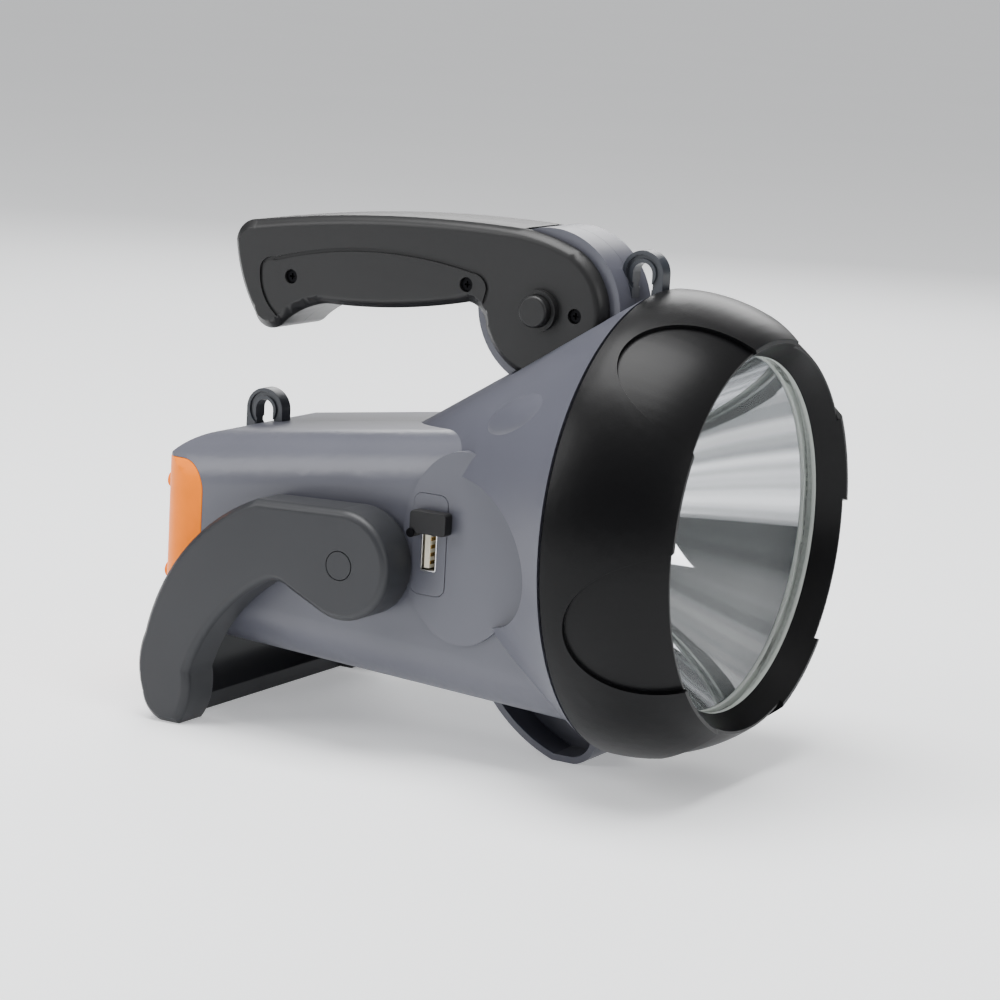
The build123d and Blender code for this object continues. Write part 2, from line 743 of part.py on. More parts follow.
def make_stand_washer(side):
    """Friction washer between one leg and the housing."""
    washer = rod_y(-stand_pivot_x, -stand_pivot_drop, stand_washer_radius,
                   -tail_half_width - stand_washer_height, -tail_half_width)
    washer = washer - rod_y(-stand_pivot_x, -stand_pivot_drop, stand_pin_radius, -leg_outer, 0)
    return washer if side < 0 else opposite(washer)


def plate_shape(grow):
    """Side view of the socket panel."""
    shape = RectangleRounded(plate_width + 2 * grow, plate_height + 2 * grow, plate_corner + grow)
    return Pos(-plate_x, -plate_low) * shape


def port_shape(grow):
    """Side view of the charging socket's opening."""
    shape = RectangleRounded(port_width + 2 * grow, port_height + 2 * grow, port_corner + grow)
    return Pos(-plate_x, -port_low) * shape


def make_tongue():
    """Insulating tongue inside the socket."""
    shape = Pos(-plate_x - tongue_shift, -port_low) * Rectangle(tongue_width, tongue_height)
    back = slab(port_shape(-port_wall), pad_face - port_depth + port_wall, pad_face - port_depth + board_thickness)
    return slab(shape, pad_face - port_depth + board_thickness, pad_face - plate_proud) + back


def make_contacts():
    """Spring contacts along the tongue."""
    face_x = -plate_x - tongue_shift + tongue_width / 2
    bars = []
    for number in range(contact_count):
        height = -port_low + (number - (contact_count - 1) / 2) * contact_pitch
        bars.append(box_between((face_x, face_x + contact_thickness),
                                (-pad_face + port_wall, -pad_face + port_depth - board_thickness),
                                (height - contact_width / 2, height + contact_width / 2)))
    return Compound(children=bars)


def make_socket_cover():
    """Soft block on a corner pin, swung clear of the socket."""
    middle_x = -cover_pin_x + cover_length / 2 - cover_pin_head / 2
    middle_z = -cover_pin_low + cover_width / 2
    inner = pad_face + plate_proud + cover_lift
    block = slab(Pos(middle_x, middle_z) * RectangleRounded(cover_length, cover_width, cover_corner), inner,
                 inner + cover_height)
    ear = rod_y(-cover_pin_x, -cover_pin_low, cover_pin_head, -inner - cover_height, -inner)
    hole = rod_y(-cover_pin_x, -cover_pin_low, cover_pin_radius + running_gap, -seam_radius, 0)
    return block + ear - hole


def make_cover_pin():
    """Headed pin that the socket cover swings on."""
    inner = pad_face + plate_proud + cover_lift
    outer = inner + cover_height + running_gap
    pin = rod_y(-cover_pin_x, -cover_pin_low, cover_pin_radius, -outer, -pad_face + plate_thickness)
    head = rod_y(-cover_pin_x, -cover_pin_low, cover_pin_head, -outer - cover_pin_head_height, -outer)
    return pin + head


def make_battery_cells():
    """Six round cells lying along the tail."""
    cells = []
    for row in range(cell_rows):
        for column in range(cell_columns):
            side = (column - (cell_columns - 1) / 2) * cell_pitch
            height = -cell_middle_low + (row - (cell_rows - 1) / 2) * cell_pitch
            cells.append(Pos(0, side, height) * tube_x(-cell_front - cell_length, -cell_front, 0, cell_radius))
    return Compound(children=[part for cell in cells for part in cell.solids()])


def make_holder(front):
    """Frame that holds the cells at one end."""
    half_y = cell_pitch * cell_columns / 2 + holder_wall
    half_z = cell_pitch * cell_rows / 2 + holder_wall
    back = front - holder_length
    block = box_between((back, front), (-half_y, half_y), (-cell_middle_low - half_z, -cell_middle_low + half_z))
    for row in range(cell_rows):
        for column in range(cell_columns):
            side = (column - (cell_columns - 1) / 2) * cell_pitch
            height = -cell_middle_low + (row - (cell_rows - 1) / 2) * cell_pitch
            block = block - Pos(0, side, height) * tube_x(back, front, 0, cell_radius + fit_gap)
    return block


def make_holder_feet():
    """Posts under and over the cell frames that carry them in the housing."""
    half_z = cell_pitch * cell_rows / 2 + holder_wall
    posts = []
    for front in holder_fronts:
        for side in (-cell_pitch, cell_pitch):
            x_pair = (front - holder_length, front)
            y_pair = (side - holder_wall, side + holder_wall)
            low = box_between(x_pair, y_pair, (-tail_low_front, -cell_middle_low - half_z))
            high = box_between(x_pair, y_pair, (-cell_middle_low + half_z, tail_top_front))
            posts.append((low + high) & tail_solid(wall))
    return Compound(children=[part for post in posts for part in post.solids()])


holder_fronts = (-cell_front, -cell_front - cell_length + holder_length)


def make_battery_tabs():
    """Thin joining strips on both ends of the cells."""
    strips = []
    for x in (-cell_front, -cell_front - cell_length - tab_thickness):
        for column in range(cell_columns):
            side = (column - (cell_columns - 1) / 2) * cell_pitch
            strips.append(box_between((x, x + tab_thickness), (side - tab_width / 2, side + tab_width / 2),
                                      (-cell_middle_low - cell_pitch, -cell_middle_low + cell_pitch)))
    return Compound(children=strips)


def make_power_button():
    """Round push button on the left pad."""
    button = rod_y(-plate_x, -switch_low, switch_radius, pad_face - switch_flange_height - switch_travel,
                   pad_face + switch_stand_out)
    edge = [e for e in button.edges() if abs(e.center().Y - pad_face - switch_stand_out) < running_gap]
    button = fillet(edge, switch_stand_out / 3)
    flange_out = pad_face - wall - pad_stand_out - running_gap * 2
    flange = rod_y(-plate_x, -switch_low, switch_radius + switch_flange, flange_out - switch_flange_height,
                   flange_out)
    neck = rod_y(-plate_x, -switch_low, switch_radius, flange_out - switch_flange_height, pad_face)
    return button + flange + neck


def make_inlet():
    """Round charging inlet on the left pad with its middle pin."""
    outer = pad_face + inlet_flange_height
    barrel = rod_y(-plate_x, -inlet_low, inlet_radius, pad_face - inlet_depth, outer)
    flange = rod_y(-plate_x, -inlet_low, inlet_radius + inlet_flange, pad_face, outer)
    hole = rod_y(-plate_x, -inlet_low, inlet_bore, pad_face - inlet_depth + inlet_floor, outer)
    pin = rod_y(-plate_x, -inlet_low, inlet_pin, pad_face - inlet_depth + inlet_floor, pad_face - pad_stand_out)
    return barrel + flange - hole + pin


def add(name, shape):
    """Keep one named piece for export."""
    pieces[name] = shape


pieces = {}

housing = make_housing()
cover_hole = rear_cover_block(0) & box_between((-tail_length - cut_over, -tail_length + rear_cover_length),
                                               (-tail_half_width - cut_over, tail_half_width + cut_over),
                                               (-tail_low_front, tail_top_front))
add("strap_loop_front", make_loop(-front_loop_x, front_loop_z, housing))
add("strap_loop_rear", make_loop(-rear_loop_x, rear_loop_z, housing))
housing = housing - cover_hole

# Openings in the housing walls
housing = housing - slab(plate_shape(fit_gap), pad_face - plate_thickness, pad_face + cut_over)
housing = housing - slab(port_shape(port_wall + fit_gap), tail_half_width - wall * 2, pad_face + cut_over)
stand_hole = rod_y(-stand_pivot_x, -stand_pivot_drop, stand_pin_radius, -seam_radius, seam_radius)
housing = housing - stand_hole
housing = housing - rod_y(-plate_x, -switch_low, switch_radius + fit_gap, 0, seam_radius)
housing = housing - rod_y(-plate_x, -inlet_low, inlet_radius, 0, seam_radius)
housing = housing - rod_y(-plate_x - switch_radius, -pilot_low, pilot_radius, 0, seam_radius)

# Screw posts across the tail, with sunk heads on the left
room = tail_solid(wall)
for x, z in screw_places:
    post = rod_y(x, z, screw_post_radius, -tail_half_width, tail_half_width) & room
    housing = housing + post
for x, z in screw_places:
    housing = housing - rod_y(x, z, screw_shank_radius, -tail_half_width + wall * 2, tail_half_width)
    housing = housing - rod_y(x, z, screw_head_radius + fit_gap, tail_half_width - screw_sink,
                              tail_half_width + cut_over)

reach = total_length + cut_over
right_half = box_between((-reach, cut_over), (-reach, -split_gap / 2), (-reach, reach))
left_half = box_between((-reach, cut_over), (split_gap / 2, reach), (-reach, reach))
add("body_shell_right", (housing & right_half).solids().sort_by(SortBy.VOLUME)[-1])
add("body_shell_left", (housing & left_half).solids().sort_by(SortBy.VOLUME)[-1])

screws = make_screws(screw_places, screw_head_radius, screw_head_height,
                     screw_shank_radius, tail_half_width - screw_sink + screw_head_height,
                     tail_half_width - wall * 2)
add("body_screws", opposite(screws))

add("bezel", make_bezel())
add("lens_gasket", make_gasket())
lens_radius = glass_seat_radius - bezel_wall / 2
add("lens", tube_x(lens_front - lens_thickness, lens_front, 0, lens_radius))
add("reflector", make_reflector())
clamp_back = gasket_back - reflector_flange - clamp_ring_length
add("reflector_clamp_ring", tube_x(clamp_back, gasket_back - reflector_flange,
                                   glass_seat_radius - clamp_ring_wall, glass_seat_radius - running_gap))
seal = tube_x(-bezel_length - seam_gap - seal_section, -bezel_length, spigot_radius, spigot_radius + seal_section)
add("bezel_seal", seal)
lamp_back = lamp_front - lamp_board_thickness
add("lamp_board", tube_x(lamp_back, lamp_front, 0, lamp_board_radius))
add("lamp_emitter", tube_x(lamp_front, lamp_front + emitter_height, 0, emitter_radius))
add("heat_sink", make_heat_sink())

add("rear_light_cover", make_rear_cover())
add("rear_light_board", make_rear_board())
add("rear_light_leds", make_rear_leds())

handle = make_handle()
add("handle_right", handle & right_half)
add("handle_left", handle & left_half)
screw_out = handle_half_width - handle_screw_sink + handle_screw_head
handle_places = [grip_point(*share) for share in handle_screw_shares]
grip_screws = make_screws(handle_places[:2], handle_screw_head, handle_screw_head, handle_screw_shank, screw_out,
                          ear_inner)
ear_screw = make_screws(handle_places[2:], handle_screw_head, handle_screw_head, handle_screw_shank, screw_out,
                        -ear_inner)
add("handle_screws", Compound(children=[*grip_screws.solids(), *ear_screw.solids()]))
tube_end = tube_room_end - tube_end_gap
tube = rod_y(-pivot_back, pivot_height, tube_radius, -tube_end, tube_end)
tube = tube - rod_y(-pivot_back, pivot_height, tube_bore, -tube_end, tube_end)
add("handle_pivot_tube", tube)
button_face = handle_half_width + button_boss_height + button_stand_out
button = rod_y(-pivot_back, pivot_height, button_radius, -button_face, -lug_half_width + button_travel)
button = button + rod_y(-pivot_back, pivot_height, button_neck_radius, -button_face, 0)
face_edge = [edge for edge in button.edges() if abs(edge.center().Y + button_face) < running_gap]
add("lock_button", chamfer(face_edge, length=fit_gap * 4))
spring_start = -lug_half_width + button_travel + spring_free_gap
spring_end = lug_half_width
spring = rod_y(-pivot_back, pivot_height, spring_radius, spring_start + button_travel, spring_end)
spring = spring - rod_y(-pivot_back, pivot_height, spring_radius - spring_wire, spring_start, spring_end)
add("lock_spring", spring)
add("lock_cap_left", rod_y(-pivot_back, pivot_height, button_radius, spring_end, button_face - button_travel))

add("stand_bail", make_stand())
for side, word in ((-1, "right"), (1, "left")):
    add("stand_pivot_pin_" + word, make_stand_pin(side))
    add("stand_pivot_cap_" + word, make_stand_cap(side))
    add("stand_washer_" + word, make_stand_washer(side))

plate = slab(plate_shape(0), pad_face - plate_thickness, pad_face + plate_proud)
plate = plate - slab(port_shape(fit_gap), pad_face - plate_thickness, pad_face + cut_over)
plate = plate - rod_y(-cover_pin_x, -cover_pin_low, cover_pin_radius, -seam_radius, 0)
add("socket_panel", plate)
socket = slab(port_shape(0) - port_shape(-port_wall), pad_face - port_depth, pad_face + plate_proud)
socket = socket + slab(port_shape(0), pad_face - port_depth, pad_face - port_depth + port_wall)
add("socket_shell", socket)
add("socket_tongue", make_tongue())
add("socket_contacts", make_contacts())
add("socket_cover", make_socket_cover())
add("socket_cover_pin", make_cover_pin())
board = slab(Pos(-plate_x, -plate_low) * Rectangle(board_width, board_height),
             pad_face - port_depth - board_thickness, pad_face - port_depth)
add("control_board", board)
add("power_button", make_power_button())
switch_out = pad_face - wall - pad_stand_out - switch_flange_height - switch_travel - running_gap * 2
switch = Pos(-plate_x, switch_out - switch_housing_height / 2, -switch_low) \
    * Box(switch_housing_size, switch_housing_height, switch_housing_size)
add("power_switch", switch)
add("charge_inlet", make_inlet())
pilot_x = -plate_x - switch_radius
add("pilot_light", rod_y(pilot_x, -pilot_low, pilot_radius, pad_face - pilot_length, pad_face))
side_board_out = switch_out - switch_housing_height
add("switch_board", opposite(slab(Pos(-plate_x, -plate_low) * Rectangle(board_width, board_height),
                                  side_board_out - board_thickness, side_board_out)))

add("battery_cells", make_battery_cells())
add("battery_holder_front", make_holder(holder_fronts[0]))
add("battery_holder_rear", make_holder(holder_fronts[1]))
add("battery_tabs", make_battery_tabs())
add("battery_rubber_posts", make_holder_feet())

middle = Pos(total_length / 2, 0, ground_drop)
for name, shape in pieces.items():
    export_step(middle * shape, os.path.join("parts", name + ".step"))
print(len(pieces), "pieces")
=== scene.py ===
# %% [markdown]
# # Rechargeable hand spotlight: the look
# The CAD model of the lamp already has every piece at its full size and place. This script gives it its
# looks: materials, softly rounded edges, a smooth mirror bowl, a floor, lights and a camera. All lengths
# are metres. +X is the beam, +Y the lamp's left and +Z up.

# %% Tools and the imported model
import json
import math

import bpy
from mathutils import Matrix, Vector


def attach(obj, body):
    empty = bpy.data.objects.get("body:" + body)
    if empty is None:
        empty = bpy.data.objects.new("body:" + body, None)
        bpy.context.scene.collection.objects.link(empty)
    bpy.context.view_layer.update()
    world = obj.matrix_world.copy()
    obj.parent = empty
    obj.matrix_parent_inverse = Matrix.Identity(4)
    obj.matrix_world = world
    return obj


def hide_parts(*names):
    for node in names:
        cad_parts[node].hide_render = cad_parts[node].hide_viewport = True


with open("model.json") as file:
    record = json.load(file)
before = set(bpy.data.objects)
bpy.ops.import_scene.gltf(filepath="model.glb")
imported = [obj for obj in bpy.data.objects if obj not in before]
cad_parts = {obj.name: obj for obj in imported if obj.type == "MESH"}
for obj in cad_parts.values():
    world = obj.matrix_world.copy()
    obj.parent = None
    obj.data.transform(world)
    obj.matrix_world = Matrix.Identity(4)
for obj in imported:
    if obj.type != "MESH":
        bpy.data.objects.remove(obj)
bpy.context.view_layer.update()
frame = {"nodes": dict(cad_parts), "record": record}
slot_of = {row["node"]: row["material_slot"] for row in frame["record"]["subparts"]}
body_of = {node: body for body, nodes in frame["record"]["behaviour"]["bodies"].items() for node in nodes}
rim_x, axis_z = 0.1045, 0.080

# %% [markdown]
# ## Small helpers
# Blender's operators act on all that is selected, and the loaded CAD nodes start selected. So pieces are
# picked by these helpers, which clear the selection first, and no earlier piece is changed by accident.

# %% Helpers for selection and edit mode
def deselect():
    if bpy.context.object and bpy.context.object.mode != "OBJECT":
        bpy.ops.object.mode_set(mode="OBJECT")
    bpy.ops.object.select_all(action="DESELECT")


def pick(piece):
    deselect()
    piece.select_set(True)
    bpy.context.view_layer.objects.active = piece


def edit_all(piece):
    pick(piece)
    bpy.ops.object.mode_set(mode="EDIT")
    bpy.ops.mesh.select_all(action="SELECT")


def to_object():
    bpy.ops.object.mode_set(mode="OBJECT")


print("helpers ready")

# %% [markdown]
# ## Floor
# The lamp stands on a plain pale table. A curved backdrop would hide the horizon in every view, but one
# large flat plane is enough here, because the camera looks down on it.

# %% Floor plane
floor_width = 60

bpy.ops.mesh.primitive_plane_add(size=floor_width, location=(0, 0, 0))
floor = bpy.context.active_object
floor.name = "floor"
print("floor made,", floor_width, "m wide")

# %% [markdown]
# ## World light
# In a studio the light comes mostly from above, and the room near the table is dim. A plain white world
# would put a pale veil on the black parts, so the world fades from dim at the horizon to white overhead.

# %% World that brightens upwards
dim_height, bright_height = 0.34, 0.92
dim_color, bright_color = (0.12, 0.12, 0.125, 1), (1.0, 1.0, 1.0, 1)
world_strength = 0.62

world = bpy.data.worlds.new("pale_room")
bpy.context.scene.world = world
world.use_nodes = True
sky = world.node_tree.nodes
background = sky["Background"]
direction = sky.new("ShaderNodeTexCoord")
split = sky.new("ShaderNodeSeparateXYZ")
fade = sky.new("ShaderNodeValToRGB")
fade.color_ramp.interpolation = "EASE"
dim, bright = fade.color_ramp.elements
dim.position, bright.position = dim_height, bright_height
dim.color, bright.color = dim_color, bright_color
world.node_tree.links.new(direction.outputs["Generated"], split.inputs["Vector"])
world.node_tree.links.new(split.outputs["Z"], fade.inputs["Fac"])
world.node_tree.links.new(fade.outputs["Color"], background.inputs["Color"])
background.inputs["Strength"].default_value = world_strength
print("world made, strength", world_strength)

# %% [markdown]
# ## Soft lamps
# Small lamps would give hard spots on the domed bezel. Four large rectangles work like softboxes: one
# overhead, one well to the camera's left, one in front of the lens and one on the far side.

# %% Area lamps
def area_lamp(name, location, turn, size, power):
    bpy.ops.object.light_add(type="AREA", location=location, rotation=[math.radians(a) for a in turn])
    lamp = bpy.context.active_object
    lamp.name = name
    lamp.data.shape = "RECTANGLE"
    lamp.data.size, lamp.data.size_y = size
    lamp.data.energy = power


lamps = {
    "lamp_top": dict(location=(-0.1, -0.1, 1.3), turn=(0, 0, 0), size=(1.0, 0.8), power=32),
    "lamp_left": dict(location=(-0.9, -1.0, 0.8), turn=(62, 0, -42), size=(0.6, 0.9), power=13),
    "lamp_front": dict(location=(1.3, -0.5, 0.5), turn=(78, 0, 68), size=(0.35, 0.9), power=7),
    "lamp_back": dict(location=(-0.5, 1.2, 0.7), turn=(-65, 0, 22), size=(0.9, 0.5), power=9),
}
for name, settings in lamps.items():
    area_lamp(name, **settings)
print(len(lamps), "lamps made")

# %% [markdown]
# ## Camera
# The camera stands to the lamp's right and in front of it, a little above, and looks slightly down. Its
# angles are written one by one, so that each can be changed by itself.

# %% Camera
camera_place = (0.5145, -0.8811, 0.2663)
camera_heading, camera_down, camera_roll = 29.86, 10.44, 3.17
camera_sensor, camera_lens, camera_near = 36, 113.5, 0.01

aim = Matrix.Rotation(math.radians(camera_heading), 3, "Z")
aim = aim @ Matrix.Rotation(math.radians(90 - camera_down), 3, "X")
aim = aim @ Matrix.Rotation(math.radians(camera_roll), 3, "Z")
bpy.ops.object.camera_add(location=camera_place, rotation=aim.to_euler())
camera = bpy.context.active_object
camera.name = "camera"
camera.data.sensor_width = camera_sensor
camera.data.lens = camera_lens
camera.data.clip_start = camera_near
bpy.context.scene.camera = camera
print("camera at", camera_place)

# %% [markdown]
# ## Material helpers
# Moulded plastic has a fine grain and is never one even colour. Both could come from pictures, but noise
# that reads the object's own coordinates needs no unwrapping and stays in place when a piece moves.

# %% New material and noise
def new_material(name):
    made = bpy.data.materials.new(name)
    made.use_nodes = True
    return made, made.node_tree, made.node_tree.nodes["Principled BSDF"]


def grain(tree, scale, detail=2.0):
    place = tree.nodes.new("ShaderNodeTexCoord")
    noise = tree.nodes.new("ShaderNodeTexNoise")
    noise.inputs["Scale"].default_value = scale
    noise.inputs["Detail"].default_value = detail
    tree.links.new(place.outputs["Object"], noise.inputs["Vector"])
    return noise


print("material and noise helpers ready")

# %% Bump and shade from noise
ramp_low, ramp_high = 0.35, 0.65


def add_bump(tree, shader, noise, strength, distance):
    bump = tree.nodes.new("ShaderNodeBump")
    bump.inputs["Strength"].default_value = strength
    bump.inputs["Distance"].default_value = distance
    tree.links.new(noise.outputs["Fac"], bump.inputs["Height"])
    tree.links.new(bump.outputs["Normal"], shader.inputs["Normal"])


def add_shade(tree, shader, noise, dark, light):
    ramp = tree.nodes.new("ShaderNodeValToRGB")
    low, high = ramp.color_ramp.elements
    low.position, high.position = ramp_low, ramp_high
    low.color, high.color = (*dark, 1), (*light, 1)
    tree.links.new(noise.outputs["Fac"], ramp.inputs["Fac"])
    tree.links.new(ramp.outputs["Color"], shader.inputs["Base Color"])


print("shades run from", ramp_low, "to", ramp_high)

# %% [markdown]
# ## Plastics and rubbers
# The housing is a smooth grey-blue plastic, and the bezel, handle and stand are three blacks of different
# depth. One helper makes them all, and the table gives each its colour, roughness, grain and gloss.

# %% Plastic helper
grain_depth = 0.00006
cloud_scale, cloud_detail, cloud_shade = 18, 4.0, 0.06


def plastic(name, color, roughness, strength, grain_size=0.0006, gloss=0.5):
    made, tree, shader = new_material(name)
    add_bump(tree, shader, grain(tree, 1 / grain_size), strength, grain_depth)
    dark = [c * (1 - cloud_shade) for c in color]
    light = [c * (1 + cloud_shade) for c in color]
    add_shade(tree, shader, grain(tree, cloud_scale, cloud_detail), dark, light)
    shader.inputs["Roughness"].default_value = roughness
    shader.inputs["Specular IOR Level"].default_value = gloss
    return made


print("grain", grain_depth, "m deep")

# %% Outer plastics and rubbers
plastics = {
    "housing_plastic": dict(color=(0.079, 0.081, 0.101), roughness=0.36, strength=0.12, grain_size=0.0005),
    "bezel_plastic": dict(color=(0.0032, 0.0032, 0.0036), roughness=0.34, strength=0.35, grain_size=0.0007,
                          gloss=0.13),
    "handle_plastic": dict(color=(0.012, 0.012, 0.0125), roughness=0.42, strength=0.35, grain_size=0.0007,
                           gloss=0.3),
    "stand_plastic": dict(color=(0.022, 0.023, 0.026), roughness=0.44, strength=0.3, gloss=0.3),
    "loop_plastic": dict(color=(0.028, 0.032, 0.040), roughness=0.36, strength=0.15),
    "soft_rubber": dict(color=(0.010, 0.010, 0.011), roughness=0.6, strength=0.2, grain_size=0.0005,
                        gloss=0.3),
    "gasket_rubber": dict(color=(0.42, 0.45, 0.42), roughness=0.55, strength=0.1, grain_size=0.0008),
    "pilot_red": dict(color=(0.5, 0.02, 0.015), roughness=0.2, strength=0.02),
}
print(len(plastics), "outer plastics")

# %% Inner plastics
plastics.update({
    "lamp_white": dict(color=(0.85, 0.74, 0.30), roughness=0.35, strength=0.1),
    "board_white": dict(color=(0.75, 0.75, 0.72), roughness=0.45, strength=0.1),
    "board_green": dict(color=(0.02, 0.16, 0.07), roughness=0.4, strength=0.1),
    "tongue_cream": dict(color=(0.78, 0.73, 0.58), roughness=0.45, strength=0.05),
    "cell_wrap": dict(color=(0.05, 0.16, 0.4), roughness=0.35, strength=0.05),
    "holder_black": dict(color=(0.025, 0.025, 0.026), roughness=0.5, strength=0.2),
})
materials = {name: plastic(name, **settings) for name, settings in plastics.items()}
print(len(materials), "plastics made")

# %% [markdown]
# ## Metals
# The socket's shell, the screws, the pins and the heat sink are bare or blackened metal. A metal's look
# comes mostly from what it reflects, so a base colour, a roughness and a faint cloud are all that it needs.

# %% Metals
metal_cloud_scale, metal_cloud_detail, metal_cloud_dark = 60, 3.0, 0.94


def metal(name, color, roughness):
    made, tree, shader = new_material(name)
    cloud = grain(tree, metal_cloud_scale, metal_cloud_detail)
    add_shade(tree, shader, cloud, [c * metal_cloud_dark for c in color], color)
    shader.inputs["Metallic"].default_value = 1.0
    shader.inputs["Roughness"].default_value = roughness
    return made


metals = {
    "sink_aluminium": dict(color=(0.7, 0.7, 0.72), roughness=0.35),
    "bright_steel": dict(color=(0.78, 0.78, 0.79), roughness=0.22),
    "dark_steel": dict(color=(0.008, 0.008, 0.009), roughness=0.5),
    "contact_brass": dict(color=(0.9, 0.62, 0.24), roughness=0.25),
}
materials.update({name: metal(name, **settings) for name, settings in metals.items()})
print(len(metals), "metals made")

# %% [markdown]
# ## Mirror with soft bands
# The bowl is polished, and its shine falls in bands that run from the bulb to the rim. A plain mirror only
# shows the empty room. So the bands are painted: the angle round the beam feeds a one-dimensional noise,
# which makes them darker and lighter.

# %% Mirror material
band_scale = 26
band_dark, band_light = (0.24, 0.25, 0.26), (0.66, 0.67, 0.69)
mirror_roughness = 0.03

mirror, tree, shader = new_material("mirror_bowl")
shader.inputs["Metallic"].default_value = 1.0
shader.inputs["Roughness"].default_value = mirror_roughness
place = tree.nodes.new("ShaderNodeTexCoord")
centre = tree.nodes.new("ShaderNodeMapping")
centre.inputs["Location"].default_value = (-axis_z, 0, 0)
centre.inputs["Rotation"].default_value = (0, math.radians(90), 0)
sweep = tree.nodes.new("ShaderNodeTexGradient")
sweep.gradient_type = "RADIAL"
bands = tree.nodes.new("ShaderNodeTexNoise")
bands.noise_dimensions = "1D"
bands.inputs["Scale"].default_value = band_scale
tree.links.new(place.outputs["Object"], centre.inputs["Vector"])
tree.links.new(centre.outputs["Vector"], sweep.inputs["Vector"])
tree.links.new(sweep.outputs["Fac"], bands.inputs["W"])
add_shade(tree, shader, bands, band_dark, band_light)
materials["mirror_bowl"] = mirror
print("mirror made, band scale", band_scale)

# %% [markdown]
# ## Clear glass
# Real glass bends the light, which is slow to render and noisy in front of a mirror. A nearly see-through
# surface shows the bowl behind it cleanly and keeps a trace of gloss.

# %% Lens material
glass_tint, glass_alpha = (0.40, 0.44, 0.44, 1), 0.06
glass_roughness, glass_bending = 0.02, 1.45

glass, tree, shader = new_material("clear_glass")
shader.inputs["Base Color"].default_value = glass_tint
shader.inputs["Roughness"].default_value = glass_roughness
shader.inputs["Alpha"].default_value = glass_alpha
shader.inputs["IOR"].default_value = glass_bending
materials["clear_glass"] = glass
print("glass made, alpha", glass_alpha)

# %% [markdown]
# ## Amber plastic
# The rear light's cover is a deep amber plastic that lets some light through. A faint orange glow stands
# for that light, and low gloss keeps the colour full.

# %% Rear cover material
amber_dark, amber_light = (0.77, 0.176, 0.0), (0.84, 0.192, 0.0)
amber_roughness, amber_gloss = 0.35, 0.08
amber_glow, amber_glow_strength = (1.0, 0.16, 0.0, 1), 0.12
amber_cloud_scale, amber_cloud_detail = 90, 3.0

amber, tree, shader = new_material("amber_plastic")
add_shade(tree, shader, grain(tree, amber_cloud_scale, amber_cloud_detail), amber_dark, amber_light)
shader.inputs["Roughness"].default_value = amber_roughness
shader.inputs["Specular IOR Level"].default_value = amber_gloss
shader.inputs["Emission Color"].default_value = amber_glow
shader.inputs["Emission Strength"].default_value = amber_glow_strength
materials["amber_plastic"] = amber
print("amber made, glow", amber_glow_strength)

# %% [markdown]
# ## Floor material
# The table is matt and nearly white. A little glow keeps it pale up to the far edge, where the lamps no
# longer reach.

# %% Pale floor
floor_dark, floor_light = (0.86, 0.87, 0.88), (0.88, 0.89, 0.90)
floor_cloud_scale, floor_roughness = 3, 0.7
floor_glow, floor_glow_strength = (0.95, 0.96, 0.98, 1), 0.38

pale, tree, shader = new_material("pale_floor")
add_shade(tree, shader, grain(tree, floor_cloud_scale), floor_dark, floor_light)
shader.inputs["Roughness"].default_value = floor_roughness
shader.inputs["Emission Color"].default_value = floor_glow
shader.inputs["Emission Strength"].default_value = floor_glow_strength
floor.data.materials.append(pale)
print("floor material made, glow", floor_glow_strength)

# %% [markdown]
# ## Paint on the CAD nodes
# Every node has a named slot in the record, so one loop paints them all, the hidden pieces too.

# %% Materials on every CAD node
def paint(piece, slot):
    piece.data.materials.clear()
    piece.data.materials.append(materials[slot])


for node, slot in slot_of.items():
    paint(frame["nodes"][node], slot)
print(len(slot_of), "CAD nodes painted")

# %% [markdown]
# ## Softened copies of the visible pieces
# No moulded edge is razor sharp, and it is the small round on an edge that catches the light. The CAD mesh
# is loose triangles, so a copy is merged, its flat triangles are joined and its edges are bevelled.
# Weighted normals then keep the flat faces flat while the rounds shade smoothly. The copy stands for its
# node.

# %% Copy, merge, round and smooth one node
merge_distance, flat_angle = 0.000002, 0.4


def softened(node, width, segments=2, angle=32):
    pick(frame["nodes"][node])
    bpy.ops.object.duplicate()
    piece = bpy.context.active_object
    piece.name = node + "_look"
    bpy.ops.mesh.customdata_custom_splitnormals_clear()
    edit_all(piece)
    bpy.ops.mesh.remove_doubles(threshold=merge_distance)
    bpy.ops.mesh.dissolve_limited(angle_limit=math.radians(flat_angle))
    to_object()
    if width:
        bevel_edges(piece, width, segments, angle)
    bpy.ops.object.shade_smooth_by_angle(angle=math.radians(angle))
    even = piece.modifiers.new("even", "WEIGHTED_NORMAL")
    even.keep_sharp = True
    bpy.ops.object.modifier_apply(modifier=even.name)
    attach(piece, body_of[node])
    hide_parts(node)


def bevel_edges(piece, width, segments, angle):
    bevel = piece.modifiers.new("round", "BEVEL")
    bevel.width = width
    bevel.segments = segments
    bevel.limit_method = "ANGLE"
    bevel.angle_limit = math.radians(angle)
    bevel.miter_outer = "MITER_ARC"
    bpy.ops.object.modifier_apply(modifier=bevel.name)


print("merge distance", merge_distance, "m")

# %% [markdown]
# Most pieces are small, so their rounds are 0.6 mm wide at most. The power button gets none, because its
# edge is already rounded in CAD.

# %% Small pieces and the bezel
rounds = {
    "bezel": 0.0006, "strap_loop_front": 0.0005, "strap_loop_rear": 0.0005, "rear_light_cover": 0.0005,
    "lock_button": 0.0003, "lock_cap_left": 0.0004, "stand_pivot_cap_right": 0.0003,
    "stand_pivot_cap_left": 0.0003, "socket_panel": 0.0002, "socket_shell": 0.0001, "socket_cover": 0.0004,
    "socket_cover_pin": 0.0002, "power_button": 0, "charge_inlet": 0.0002, "body_screws": 0.0001,
    "handle_screws": 0.0001, "lens_gasket": 0.0003, "lens": 0.0002,
}
for node, width in rounds.items():
    softened(node, width)
print(len(rounds), "small pieces softened")

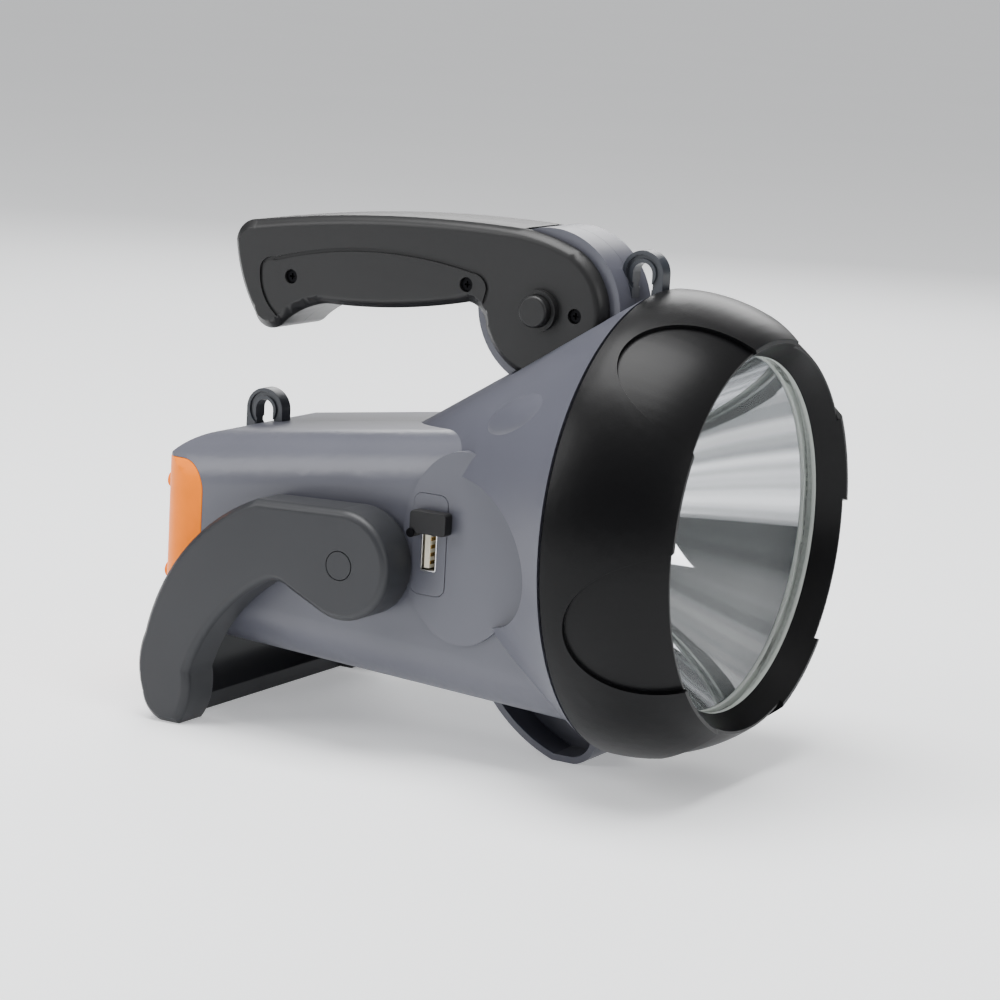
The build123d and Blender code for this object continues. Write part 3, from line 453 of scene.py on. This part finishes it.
# %% [markdown]
# The housing's shapes flow into each other, so its rounds are wide and start at a low angle. The handle and
# the stand have a wide chamfer in CAD: a high angle leaves it whole, and smooth shading makes it look
# round.

# %% Housing, handle and stand
housing_round, housing_segments, housing_angle = 0.0022, 3, 18
grip_round, grip_angle = 0.0004, 50

for node in ("body_shell_right", "body_shell_left"):
    softened(node, housing_round, segments=housing_segments, angle=housing_angle)
for node in ("handle_right", "handle_left", "stand_bail"):
    softened(node, grip_round, angle=grip_angle)
print("housing, handle and stand softened")

# %% [markdown]
# ## Oval swells on the flare
# A low oval swell lies on each flank of the flare. It could be sculpted into the wall, but the wall's mesh
# is coarse there. So a ball is squashed, laid along the cone's slope and sunk, and only its smooth top
# shows.

# %% Sizes of the swells
cone_slope, seam_x, seam_r = 0.61, rim_x - 0.0393, 0.0743
swell_x, swell_turn = rim_x - 0.0666, 51
swell_size, swell_sunk = (0.0185, 0.0082, 0.0036), 0.0022
swell_segments, swell_rings = 64, 32
swell_r = seam_r - cone_slope * (seam_x - swell_x)
print("cone radius at the swells", round(swell_r, 5))

# %% Swells
for side, name in ((1, "swell_right"), (-1, "swell_left")):
    deselect()
    around = Matrix.Rotation(math.radians(side * swell_turn), 3, "X")
    lay = around @ Matrix.Rotation(-math.atan(cone_slope), 3, "Y")
    sunk = lay @ Vector((0, 0, swell_sunk))
    middle = around @ Vector((0, 0, swell_r)) - sunk + Vector((swell_x, 0, axis_z))
    bpy.ops.mesh.primitive_uv_sphere_add(segments=swell_segments, ring_count=swell_rings, radius=1,
                                         location=middle, rotation=lay.to_euler(), scale=swell_size)
    swell = bpy.context.active_object
    swell.name = name
    bpy.ops.object.transform_apply(location=True, rotation=True, scale=True)
    bpy.ops.object.shade_smooth()
    swell.data.materials.append(materials["housing_plastic"])
    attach(swell, "housing")
    print(name, "at", [round(v, 4) for v in middle])

# %% [markdown]
# ## A smooth mirror bowl
# The bowl is a thin parabola with a flange, and any facet shows at once in a mirror. The CAD node is made
# of flat triangles. So a ring is extruded along the profile in many short steps, with 128 sides, and
# replaces it.

# %% Sizes of the bowl
bowl_focus, bowl_wall = 0.015, 0.0014
bowl_bottom_x = rim_x - 0.067598
bulb_hole, inner_reach, outer_reach = 0.008, 0.04855, 0.046
inner_steps, outer_steps = 40, 30
flange_front, flange_back = rim_x - 0.0143, rim_x - 0.0159
flange_radius, flange_inner = 0.0604, 0.05725
print("bowl from radius", bulb_hole, "to", bulb_hole + inner_reach)

# %% Profile of the bowl: inside, flange, outside
def bowl_point(radius, thickness):
    slope = radius / (2 * bowl_focus)
    length = math.sqrt(1 + slope * slope)
    x = bowl_bottom_x + radius * radius / (4 * bowl_focus)
    return x - thickness / length, radius + thickness * slope / length


inside = [bowl_point(bulb_hole + inner_reach * step / inner_steps, 0) for step in range(inner_steps + 1)]
flange = [(flange_front, flange_radius), (flange_back, flange_radius), (flange_back, flange_inner)]
outside = [bowl_point(bulb_hole + outer_reach * step / outer_steps, bowl_wall)
           for step in range(outer_steps, -1, -1)]
profile = inside + flange + outside
print(len(profile), "profile points")

# %% Extrude the ring along the profile
ring_sides, ring_merge, ring_angle = 128, 0.000005, 35


def turned(name, points):
    deselect()
    start_x, start_r = points[0]
    bpy.ops.mesh.primitive_circle_add(vertices=ring_sides, radius=start_r, location=(start_x, 0, axis_z),
                                      rotation=(0, math.radians(90), 0))
    piece = bpy.context.active_object
    piece.name = name
    bpy.ops.object.transform_apply(location=True, rotation=True, scale=True)
    edit_all(piece)
    last_x, last_r = start_x, start_r
    for x, r in [*points[1:], points[0]]:
        bpy.ops.mesh.extrude_region_move(TRANSFORM_OT_translate={"value": (x - last_x, 0, 0)})
        bpy.ops.transform.resize(value=(1, r / last_r, r / last_r), center_override=(x, 0, axis_z))
        last_x, last_r = x, r
    bpy.ops.mesh.select_all(action="SELECT")
    bpy.ops.mesh.remove_doubles(threshold=ring_merge)
    bpy.ops.mesh.normals_make_consistent(inside=False)
    to_object()
    bpy.ops.object.shade_smooth_by_angle(angle=math.radians(ring_angle))
    return piece


print("rings have", ring_sides, "sides")

# %% Bowl in the reflector's place
bowl = turned("mirror_bowl", profile)
bowl.data.materials.append(materials["mirror_bowl"])
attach(bowl, body_of["reflector"])
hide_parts("reflector")
print("bowl box", [round(v, 5) for v in bowl.dimensions])
